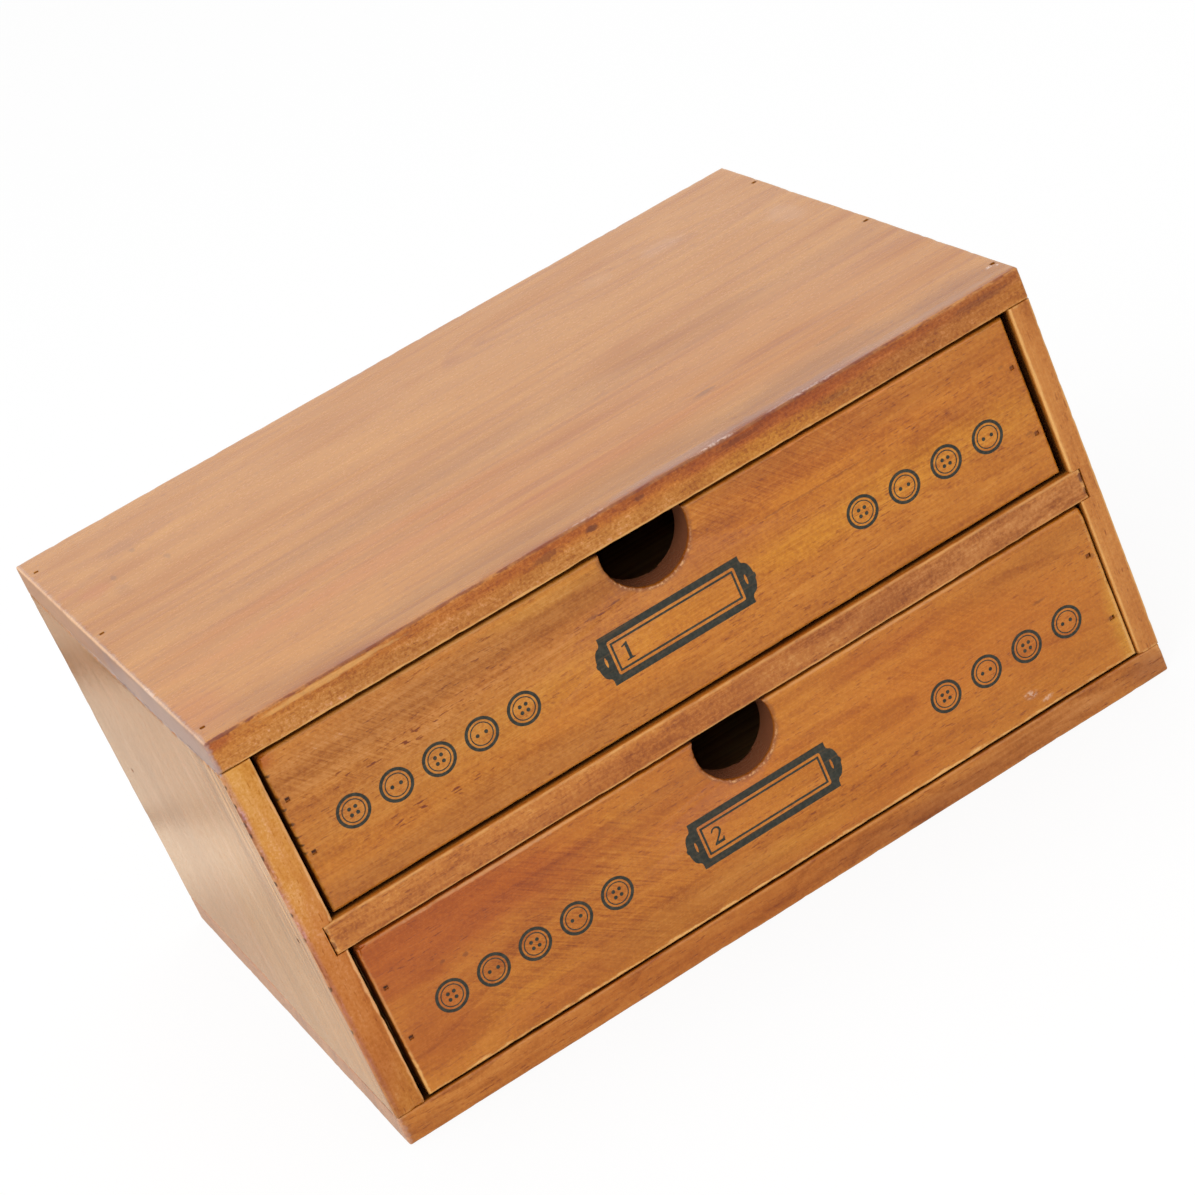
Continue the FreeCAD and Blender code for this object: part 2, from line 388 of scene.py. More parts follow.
def notch_wall_and_shade(wood, colour, notch, behind, toward_front, ragged, mottle):
    """The wall of the finger notch in darker cut wood and painted shade, with a smudged rim that is torn
    pale below; painted shade also darkens the front's edges deep behind its face.
    """
    across = wood.axes[SIDEWAYS] - notch[0]
    upward = wood.axes[UPRIGHT] - notch[1]
    rim = (across * across + upward * upward) ** 0.5 - notch[2] + (ragged - 0.5) * 0.0016
    colour = wood.mix(colour, smudge_and_shade_brown, rim.fall(0.0004, 0.0015) * 0.45)
    torn = rim.fall(0.0002, 0.0009) * mottle.rise(0.46, 0.60) * toward_front
    colour = wood.mix(colour, peach_wear_and_highlight, torn * upward.fall(-0.008, 0.0) * 0.7)
    # Painted shade: deep in the notch and on the edges behind the face, where the gap is unlit.
    deep = (behind + (ragged - 0.5) * 0.0007).rise(0.0007, 0.0015) * (1.0 - toward_front)
    return wood.mix(colour, cut_and_shade_brown, deep * rim.fall(0.0009, 0.0020, 0.30, 0.92))


# Tints that a stain is multiplied by, red, green and blue.
rose_brown = (0.90, 0.96, 1.80, 1.0)
fox_red = (0.80, 0.54, 0.20, 1.0)
umber = (0.80, 0.72, 0.75, 1.0)
orange_stain = (0.98, 0.76, 0.30, 1.0)
wine_stain = (0.74, 0.62, 0.90, 1.0)
faded = (1.12, 1.22, 1.60, 1.0)
honey = (1.16, 1.36, 1.10, 1.0)
greyed = (0.93, 0.93, 0.98, 1.0)
amber = (0.99, 0.95, 0.85, 1.0)
ashen = (0.97, 1.05, 1.50, 1.0)
russet = (0.95, 1.00, 2.00, 1.0)
side_brown = (0.77, 0.74, 2.05, 1.0)
end_dark = (0.55, 0.42, 1.20, 1.0)
end_pale = (1.20, 1.65, 2.60, 1.0)
front_edge_red = (0.92, 0.80, 1.40, 1.0)

# Colours of what lies on or has been rubbed through the stain; some of them are also painted highlights,
# glints, sheen and shade.
# The pale arris colours stand partly for wear through the stain and partly for painted highlights on
# rounded edges.
gold_wear_and_highlight = stain(236, 182, 106)
peach_wear_and_highlight = stain(232, 176, 116)
orange_wear_and_highlight = stain(226, 138, 60)
# Pale scuffs, and painted glints on the top board.
scuff_and_glint_white = stain(232, 206, 190)
# Painted sheen on the top board, and a pale joint line on the left board.
lavender_sheen_and_joint = stain(160, 148, 155)
haze = stain(214, 190, 182)
wine_red = stain(104, 34, 16)
knot_orange = stain(186, 100, 26)
# Brown of smudges and joints, and of painted shade between the raised grain on the left face.
smudge_and_shade_brown = stain(104, 46, 16)
nick_brown = stain(48, 22, 8)
# Dark brown inside the bays: dirt, and painted shade where the gaps are unlit.
gap_dirt_and_shade = stain(34, 16, 7)
# Darker cut wood, and painted shade deep in the notch and in the gaps round a front.
cut_and_shade_brown = stain(128, 78, 54)
iron_brown = stain(58, 26, 10)


def stained_wood(
    name, node, grain, ramp, heart,
    ring_width=0.0023, seed=0.0, figure=1.0, grit=(1.0, 0.4), fine=(1.0, 1.0),
    streaky=1.0, cloudy=0.48, arch=None, planed=None, dashes=(), stains=(), marks=(), ridged=False,
    wear=0.5, end_share=0.6, bay_sides=(), bay_clear=0.0022, cut_rim=None,
    nails=(), nail_axis=UPRIGHT, nail_shade=0.45, gloss=0.26, coat=0.38,
):
    """Stained and varnished wood for one board, its figure running on through every face."""
    wood = Finish(name, IOR=1.5, Coat_Roughness=0.10)
    low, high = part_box(node)
    normal_axes = wood.split(wood.node("ShaderNodeTexCoord", output="Normal"))
    toward_front = abs(normal_axes[INWARD]).rise(*turned_to)
    end_grain = abs(normal_axes[grain]).rise(*turned_to)
    behind = wood.axes[INWARD] - low[INWARD]

    count = growth_rings(wood, (low + high) / 2, grain, heart, ring_width, seed)
    late = late_wood(wood, count)
    bands = wood.bands(count * 0.35 + 11.0, 2.0)
    streaks = wood.noise(lengthwise(grain, *streak_size), seed + 6, 2.0, 0.55)
    fibres = wood.noise(lengthwise(grain, *fibre_size), seed, 3.0, 0.65)
    pores = wood.noise(lengthwise(grain, *pore_size), seed + 4, 1.0).rise(0.64, 0.72)
    clouds = wood.noise(lengthwise(grain, *cloud_size), seed + 8, 3.0)
    blots = wood.noise(lengthwise(grain, *blot_size), seed + 9, 2.0)
    mottle = wood.noise(mottle_size, seed + 2, 3.0, 0.72)
    ragged = wood.noise(lengthwise(grain, *tear_size), seed + 5, 3.0)

    # Grit and fine each hold two strengths: for the faces that look forward, and for all others.
    rough = toward_front * (grit[0] - grit[1]) + grit[1]
    fibres = (fibres - 0.5) * (toward_front * (fine[0] - fine[1]) + fine[1])
    contrast = 0.34 * figure
    tone = (bands - 0.5) * contrast + (clouds - 0.5) * cloudy + (streaks - 0.5) * (contrast * streaky)
    tone = tone + fibres * contrast - late * (0.15 * figure) + 0.54
    tone = tone + ((mottle - 0.5) * 1.05 + (blots - 0.5) * 0.45) * rough
    flecks = pores * clouds.rise(0.35, 0.62)
    tone = tone - flecks * 0.30
    if arch:
        tone = tone + 0.02 - arched_rings(wood, arch, seed) * 0.06
    if planed:
        slant, strength, group = planed
        zone = spots(wood, group, (clouds - 0.5) * 0.8, 0.2, 1.2) + 0.12
        tone = tone + (planer_strokes(wood, slant, seed) - 0.5) * zone * strength
    if dashes:
        dash = wood.noise(lengthwise(grain, *dash_size), seed + 14, 1.0).rise(0.60, 0.68)
        tone = tone - dash * spots(wood, dashes, (clouds - 0.5) * 0.8, 0.3, 1.1) * 0.55
    colour = wood.node("ShaderNodeValToRGB", {"stops": ramp}, {"Fac": tone})

    for tint, group in stains:
        cover = spots(wood, group, (clouds - 0.5) * 1.1 + (ragged - 0.5) * 0.3, 0.30, 1.15)
        colour = wood.mix(colour, tint, cover, "MULTIPLY")
    colour = wood.mix(colour, umber, end_grain * end_share, "MULTIPLY")

    # Arrises: pale where worn through the stain, which also serves as a painted highlight along the rounded
    # edges.
    arris = arris_distance(wood, low, high) + (ragged - 0.5) * 0.0011
    wear_and_highlight = arris.fall(*arris_wear_and_highlight) * ragged.rise(0.36, 0.62) * wear
    colour = wood.mix(colour, gold_wear_and_highlight, wear_and_highlight)
    for tint, group in marks:
        cover = spots(wood, group, (ragged - 0.5) * 1.3 + (mottle - 0.5) * 0.8, 0.45, 1.0)
        # Scuffs and painted glints show only as specks.
        if tint is scuff_and_glint_white:
            cover = cover * mottle.rise(0.40, 0.58)
        colour = wood.mix(colour, tint, cover)
    relief = streaks * 0.8 + fibres * 0.9 + mottle * 0.3 - flecks * 0.8
    if ridged:
        ridges = wood.noise(ridge_size, seed + 20, 3.0, 0.70)
        beside = behind.fall(*ridges_fade) * (normal_axes[SIDEWAYS] * -1.0).rise(0.6, 0.9)
        beside = beside * wood.axes[UPRIGHT].rise(*ridges_rise, 0.30, 1.0)
        # Painted sheen and shade: cream on the ridges and brown between them, as raised grain catches the
        # gloss; the bump gives the ridges their shape.
        colour = wood.mix(colour, peach_wear_and_highlight, ridges.rise(0.50, 0.62) * beside * 0.70)
        colour = wood.mix(colour, smudge_and_shade_brown, ridges.fall(0.38, 0.48) * beside * 0.60)
        relief = relief + ridges * beside * 5.0

    if nails:
        halo = nearest_nail(wood, nails, nail_axis, grain) + (ragged - 0.5) * 0.0012
        colour = wood.mix(colour, iron_brown, halo.fall(*nail_stain) * nail_shade)
    # Painted shade, partly dirt: faces that look into a bay are darkened from a little behind the case's
    # front, as the unlit gap would be.
    for axis, side in bay_sides:
        facing = (normal_axes[axis] * side).rise(0.5, 0.9) * behind.rise(bay_clear * 0.3, bay_clear * 1.3)
        colour = wood.mix(colour, gap_dirt_and_shade, facing * behind.fall(*bay_dirt_and_shade_span) * 0.90)
    if cut_rim:
        colour = notch_wall_and_shade(wood, colour, cut_rim, behind, toward_front, ragged, mottle)

    bare = wear_and_highlight.most(end_grain * 0.5)
    wood.feed(
        Base_Color=colour,
        Roughness=gloss + fibres * 0.22 + (mottle - 0.5) * 0.15 + bare * 0.25,
        Coat_Weight=(coat - bare * coat) * clouds.rise(0.25, 0.60, 0.55, 1.0),
        Normal=wood.bump(relief, 0.00010, 0.55),
    )
    return wood.material


def plain_wood(name, grain, tones, seed, gloss=0.62):
    """Bare or lightly stained wood of the parts that don't show when a drawer is shut."""
    wood = Finish(name, Roughness=gloss, IOR=1.45)
    wander = (wood.noise(lengthwise(grain, 0.080, 0.025), seed, 1.0) - 0.5) * 0.010
    across = wood.axes[(grain + 1) % 3] * 0.8 + wood.axes[(grain + 2) % 3] + wander
    count = across / 0.0031 + seed * 5.0
    late = late_wood(wood, count)
    fibres = wood.noise(lengthwise(grain, *fibre_size), seed, 3.0, 0.6)
    clouds = wood.noise(lengthwise(grain, 0.050, 0.014), seed + 8, 3.0)
    pores = wood.noise(lengthwise(grain, 0.0030, 0.0004), seed + 4, 1.0).rise(0.68, 0.75)
    colour = wood.mix(tones["pale"], tones["dark"], clouds.rise(0.35, 0.65) * 0.7)
    colour = wood.mix(colour, tones["line"], late * 0.45)
    colour = wood.mix(colour, tones["line"], fibres.rise(0.45, 0.80) * 0.40)
    colour = wood.mix(colour, tones["line"], pores * 0.5)
    wood.feed(
        Base_Color=colour,
        Roughness=gloss + (fibres - 0.5) * 0.2,
        Normal=wood.bump(fibres + late * 0.4 - pores, 0.00006, 0.6),
    )
    return wood.material


def stained_over_steel(name, node, nail_axis, stretch, seed):
    """Nail heads stained over with the wood; only the middle of each still shows dark steel."""
    steel = Finish(name, IOR=1.5)
    tarnish = steel.noise(tarnish_size, seed, 3.0)
    middle = nearest_nail(steel, nail_islands(node), nail_axis, stretch) + (tarnish - 0.5) * 0.0006
    shows = middle.fall(*nail_steel)
    # More steel shows on the left of a front, and toward the front of the top.
    if nail_axis == INWARD:
        shows = shows * steel.axes[SIDEWAYS].fall(-0.01, 0.01, 0.30, 1.0)
    if nail_axis == UPRIGHT:
        shows = shows * steel.axes[INWARD].fall(-0.03, 0.06, 0.35, 1.0)
    colour = steel.mix(stain(160, 88, 32), stain(70, 34, 16), shows)
    colour = steel.mix(colour, stain(116, 70, 36), tarnish.rise(0.50, 0.80) * 0.4)
    steel.feed(
        Base_Color=colour,
        Metallic=shows * 0.3,
        Roughness=tarnish.rise(0.3, 0.7, 0.38, 0.65),
        Normal=steel.bump(tarnish - shows * 0.6, 0.00006, 0.7),
    )
    return steel.material


def printing_ink(name, seed):
    """Dark ink printed on the stained wood, thin enough for the grain to show."""
    ink = Finish(name, IOR=1.45)
    fibres = ink.noise(lengthwise(SIDEWAYS, *fibre_size), seed, 3.0, 0.65)
    mottle = ink.noise(mottle_size, seed + 2, 3.0, 0.72)
    colour = ink.mix(stain(30, 36, 33), stain(58, 58, 50), mottle.rise(0.35, 0.70))
    colour = ink.mix(colour, stain(110, 78, 42), fibres.rise(0.52, 0.80) * 0.5)
    ink.feed(
        Base_Color=colour,
        Roughness=mottle.rise(0.3, 0.7, 0.36, 0.56),
        Normal=ink.bump(fibres + mottle * 0.3, 0.00008, 0.5),
    )
    return ink.material


# -------- worn boards


def linked(name, data):
    """A new object in the scene."""
    thing = bpy.data.objects.new(name, data)
    bpy.context.scene.collection.objects.link(thing)
    return thing


def add_piece(name, mesh, body):
    piece = linked(name, mesh)
    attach(piece, body)
    return piece


def face_distances(point, low, high):
    return [min(point[i] - low[i], high[i] - point[i]) for i in range(3)]


def cut_along(made, geometry, point, normal):
    cut = bmesh.ops.bisect_plane(made, geom=geometry, dist=same_place, plane_co=point, plane_no=normal)
    return cut["geom"]


def cut_across(made, geometry, axis, place):
    point, normal = Vector(), Vector()
    point[axis] = place
    normal[axis] = 1.0
    return cut_along(made, geometry, point, normal)


def parts_of(faces):
    """Faces with all their edges and corners, always in the same order."""
    edges = dict.fromkeys(edge for face in faces for edge in face.edges)
    corners = dict.fromkeys(corner for face in faces for corner in face.verts)
    return list(corners) + list(edges) + list(faces)


def stations(start, end, step):
    count = max(1, round((end - start) / step))
    return [start + (end - start) * k / count for k in range(1, count)]


def wear_at(point, depth, chips, seed):
    """How deep an arris is worn at a point: slow waves, small nicks and the chips that are listed."""
    slow = noise.noise(point * 45.0 + Vector((seed, 0.0, 0.0)))
    quick = noise.noise(point * 330.0 + Vector((0.0, seed, 0.0)))
    wear_and_highlight = depth * (0.35 + 0.6 * slow + 1.3 * max(0.0, quick) ** 1.5)
    for place, radius, chip_depth in chips:
        share = (point - Vector(place)).length / radius
        if share < 1.0:
            wear_and_highlight += chip_depth * (1.0 - share * share)
    return max(0.0, wear_and_highlight)


def fray_notch(made, notch, face, seed):
    """Cuts the rim of the finger notch into short lengths and frays it."""
    x, z, radius = notch
    axis = Vector((x, 0.0, z))

    def reach(vertex):
        return math.hypot(vertex.co.x - x, vertex.co.z - z)

    geometry = parts_of([f for f in made.faces if all(reach(v) < radius + tear_depth for v in f.verts)])
    turns = 64
    for k in range(turns):
        angle = math.pi * k / turns
        geometry = cut_along(made, geometry, axis, Vector((-math.sin(angle), 0.0, math.cos(angle))))
    for vertex in made.verts:
        behind = vertex.co.y - face
        if abs(reach(vertex) - radius) > tear_width or behind > tear_depth:
            continue
        out = Vector((vertex.co.x - x, 0.0, vertex.co.z - z)).normalized()
        lower_left = max(0.0, out.dot(Vector((-0.6, 0.0, -0.8))))
        tear = max(0.0, noise.noise(vertex.co * 620.0 + Vector((seed, seed, 0.0))))
        vertex.co += out * tear * (0.00025 + 0.0006 * lower_left) * (1.0 - behind / tear_depth)


def swell_ends(made, low, high, seed):
    """Brings the ends of a board that is let in nearly home against the joint, raggedly, at its front."""
    for vertex in made.verts:
        behind = vertex.co.y - low.y
        for end, way in ((low.x, -1.0), (high.x, 1.0)):
            inset = abs(vertex.co.x - end)
            if inset > swell_length or behind > swell_depth:
                continue
            ragged = noise.noise(vertex.co * 480.0 + Vector((seed, 0.0, seed)))
            swell = 0.00054 + 0.00024 * ragged
            vertex.co.x += way * swell * (1.0 - behind / swell_depth) * (1.0 - inset / swell_length)


def splay_end(made, low, high, foot, head):
    """Lets the right end of a front stand out of square, further out at its foot than at its head."""
    for vertex in made.verts:
        share = min(1.0, 1.0 - (high.x - vertex.co.x) / splay_length)
        if share > 0.0:
            level = (vertex.co.z - low.z) / (high.z - low.z)
            vertex.co.x += (foot + (head - foot) * level) * share


def ease_arrises(made, low, high, depth, chips, seed):
    """Sinks each point near an arris by the wear there, most at the arris itself."""
    middle = (low + high) / 2
    for vertex in made.verts:
        distances = face_distances(vertex.co, low, high)
        arris = sorted(distances)[1]
        if arris >= arris_reach:
            continue
        amount = wear_at(vertex.co, depth, chips, seed) * (1.0 - arris / arris_reach) ** 2
        for axis in range(3):
            share = max(0.0, 1.0 - distances[axis] / arris_reach)
            vertex.co[axis] += amount * share * (1.0 if vertex.co[axis] < middle[axis] else -1.0)


def worn_board(node, body, finish, depth, seed, chips=(), notch=None, let_in=False, ends=None):
    """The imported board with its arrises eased, nicked and chipped by use."""
    low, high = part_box(node)
    made = bmesh.new()
    made.from_mesh(frame["nodes"][node].data)
    bmesh.ops.remove_doubles(made, verts=made.verts, dist=same_place)
    bmesh.ops.dissolve_limit(made, angle_limit=math.radians(0.5), verts=made.verts, edges=made.edges)
    for axis in range(3):
        for inset in arris_loops:
            for place in (low[axis] + inset, high[axis] - inset):
                cut_across(made, parts_of(made.faces), axis, place)

    def on_rim(face):
        return all(sorted(face_distances(v.co, low, high))[1] < rim_width for v in face.verts)

    geometry = parts_of([face for face in made.faces if on_rim(face)])
    for axis in range(3):
        step = arris_step / 2 if let_in and axis == UPRIGHT else arris_step
        for place in stations(low[axis], high[axis], step):
            geometry = cut_across(made, geometry, axis, place)
    if notch:
        fray_notch(made, notch, low.y, seed)
    ease_arrises(made, low, high, depth, chips, seed)
    if let_in:
        swell_ends(made, low, high, seed)
    if ends:
        splay_end(made, low, high, *ends)
    made.normal_update()
    for face in made.faces:
        face.smooth = max(abs(part) for part in face.normal) < 0.99999
    mesh = bpy.data.meshes.new("worn_" + node)
    made.to_mesh(mesh)
    made.free()
    mesh.set_sharp_from_angle(angle=math.radians(38))
    mesh.materials.append(finish)
    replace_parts(add_piece("worn_" + node, mesh, body), node)


# -------- printing


def arc(middle, radius, start, end, steps):
    """Points along an arc, its angles in degrees."""
    angles = [math.radians(start + (end - start) * k / steps) for k in range(steps + 1)]
    return [(middle[0] + radius * math.cos(a), middle[1] + radius * math.sin(a)) for a in angles]


def ring(middle, radius, points=48):
    return arc(middle, radius, 0.0, 360.0 * (points - 1) / points, points - 1)


def rectangle(half_width, half_height, corner):
    """A rectangle round the origin with rounded corners."""
    points = []
    for x_side, z_side, start in ((1, 1, 0), (-1, 1, 90), (-1, -1, 180), (1, -1, 270)):
        middle = (x_side * (half_width - corner), z_side * (half_height - corner))
        points += arc(middle, corner, start, start + 90, 5)
    return points


def printed(name, drawer, loops, ink):
    """A thin film of ink on a drawer front; a loop inside another leaves bare wood."""
    low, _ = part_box(drawer + "_drawer_front")
    curve = bpy.data.curves.new(name, "CURVE")
    curve.dimensions = "2D"
    curve.fill_mode = "BOTH"
    curve.extrude = (ink_proud + ink_sunk) / 2
    for loop in loops:
        spline = curve.splines.new("POLY")
        spline.points.add(len(loop) - 1)
        for point, (x, z) in zip(spline.points, loop):
            point.co = (x, z, 0.0, 1.0)
        spline.use_cyclic_u = True
    drawn = bpy.data.objects.new(name + "_drawing", curve)
    mesh = bpy.data.meshes.new_from_object(drawn)
    bpy.data.objects.remove(drawn)
    bpy.data.curves.remove(curve)
    film_y = low.y + (ink_sunk - ink_proud) / 2
    for vertex in mesh.vertices:
        x, z, depth = vertex.co
        vertex.co = (x, film_y - depth, z)
    mesh.name = name
    mesh.materials.clear()
    mesh.materials.append(ink)
    return add_piece(name, mesh, drawer + "_drawer")


def shifted(loop, middle):
    return [(x + middle[0], z + middle[1]) for x, z in loop]


def label_outline():
    """The border of the card holder: a plate with a round ear at each end."""
    half_width, half_height = label_size[0] / 2, label_size[1] / 2
    ear_half = 0.0051
    outward = (
        (0.0, half_height), (0.0, half_height - 0.0014), (0.0002, half_height - 0.0021),
        (0.0006, half_height - 0.0025), (0.0011, ear_half - 0.0006), (0.0017, ear_half - 0.0012),
        (0.0021, ear_half - 0.0021), (0.0024, ear_half - 0.0032), (0.0025, 0.0009), (0.0029, 0.0004),
    )
    quarter = [(half_width + x, z) for x, z in outward]
    right = quarter + [(x, -z) for x, z in reversed(quarter)]
    return right + [(-x, -z) for x, z in right]


def label_frame(drawer, ink):
    half_width, half_height = label_size[0] / 2, label_size[1] / 2
    slot_middle = half_width - 0.0001
    slot = [(x * 0.24, z) for x, z in ring((0.0, 0.0), 0.0015)]
    loops = [
        label_outline(),
        rectangle(half_width - 0.0021, half_height - 0.0021, 0.0007),
        shifted(slot, (slot_middle, 0.0)),
        shifted(slot, (-slot_middle, 0.0)),
        rectangle(half_width - 0.0028, half_height - 0.0029, 0.0002),
        rectangle(half_width - 0.0034, half_height - 0.0035, 0.0001),
    ]
    placed = [shifted(loop, label_middle[drawer]) for loop in loops]
    return printed(drawer + "_drawer_label_frame", drawer, placed, ink)


def figure_one():
    return [
        (0.0003, 0.0000), (0.0028, 0.0000), (0.0028, 0.0003), (0.0021, 0.0005), (0.0021, 0.0052),
        (0.0018, 0.0052), (0.0002, 0.0045), (0.0002, 0.0042), (0.0012, 0.0044), (0.0012, 0.0005),
        (0.0003, 0.0003),
    ]


def figure_two():
    outer = arc((0.0016, 0.0037), 0.0015, 175, -35, 14)
    inner = arc((0.0015, 0.0038), 0.0009, -30, 165, 12)
    foot = [
        (0.0011, 0.0008), (0.0026, 0.0008), (0.0030, 0.0014), (0.0033, 0.0014), (0.0031, 0.0),
        (0.0, 0.0), (0.0, 0.0004), (0.0018, 0.0024),
    ]
    return outer + foot + inner


def number_on_label(drawer, figure, ink):
    middle = label_middle[drawer]
    corner = (middle[0] - 0.0168, middle[1] - 0.0026)
    return printed(drawer + "_drawer_number", drawer, [shifted(figure, corner)], ink)


def button(middle, holes):
    """A printed round button, with two or four holes."""
    loops = [ring(middle, button_radius - inset) for inset in button_lines]
    for k in range(holes):
        angle = math.tau * k / holes + (math.pi / 4 if holes == 4 else 0.0)
        hole = (middle[0] + hole_offset * math.cos(angle), middle[1] + hole_offset * math.sin(angle))
        loops.append(ring(hole, hole_radius, 16))
    return loops


def button_row(drawer, side, ink):
    middle_x, middle_z, width, count = button_rows[drawer][side]
    pitch = (width - 2 * button_radius) / (count - 1)
    loops = []
    for k in range(count):
        x = middle_x - width / 2 + button_radius + pitch * k
        loops += button((x, middle_z), 4 if k % 2 == 0 else 2)
    return printed(drawer + "_drawer_buttons_" + side, drawer, loops, ink)


# -------- the case


def face_patches(axis, place, usual_deep):
    """Makes the function that lays patches on one flat face, which lies at a place on an axis.

    A row holds the patch's strength, its middle in the face and its reach there; deep is its reach inwards.
    """

    def lay(*rows, deep=usual_deep):
        patches = []
        for strength, *values in rows:
            middle, reach = values[:2], values[2:]
            middle.insert(axis, place)
            reach.insert(axis, deep)
            patches.append((strength, tuple(middle), tuple(reach)))
        return tuple(patches)

    return lay


def shades(*swatches):
    """A ramp of shades from the darkest line to the brightest fibre."""
    places = (0.0, 0.30, 0.50, 0.70, 1.0)
    return tuple((place, stain(*swatch)) for place, swatch in zip(places, swatches))


edge_shades = shades((116, 44, 0), (156, 82, 14), (180, 105, 32), (194, 122, 46), (224, 162, 88))
top_shades = shades((132, 60, 0), (168, 96, 6), (184, 115, 16), (196, 128, 28), (222, 160, 66))
golden_shades = shades((136, 62, 0), (176, 104, 12), (194, 125, 32), (205, 142, 54), (228, 176, 104))
front_shades = shades((118, 44, 0), (164, 86, 4), (186, 108, 18), (200, 124, 32), (226, 162, 84))

face_y = cad_low.y
top_z = cad_high.z
left_x = cad_low.x
divider_low, divider_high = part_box("divider_shelf")
left_board_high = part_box("left_side_board")[1]
right_board_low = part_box("right_side_board")[0]
ceiling_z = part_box("top_board")[0].z
# The nail beside which a painted glint lies.
glinting_nail = nail_islands("top_nails")[3]

on_front = face_patches(INWARD, face_y, 0.002)
on_top = face_patches(UPRIGHT, top_z, 0.004)
on_left = face_patches(SIDEWAYS, left_x, 0.0015)
left_nicks = (0.116, 0.1105, 0.1045, 0.101, 0.094, 0.086, 0.076, 0.068, 0.052, 0.038)

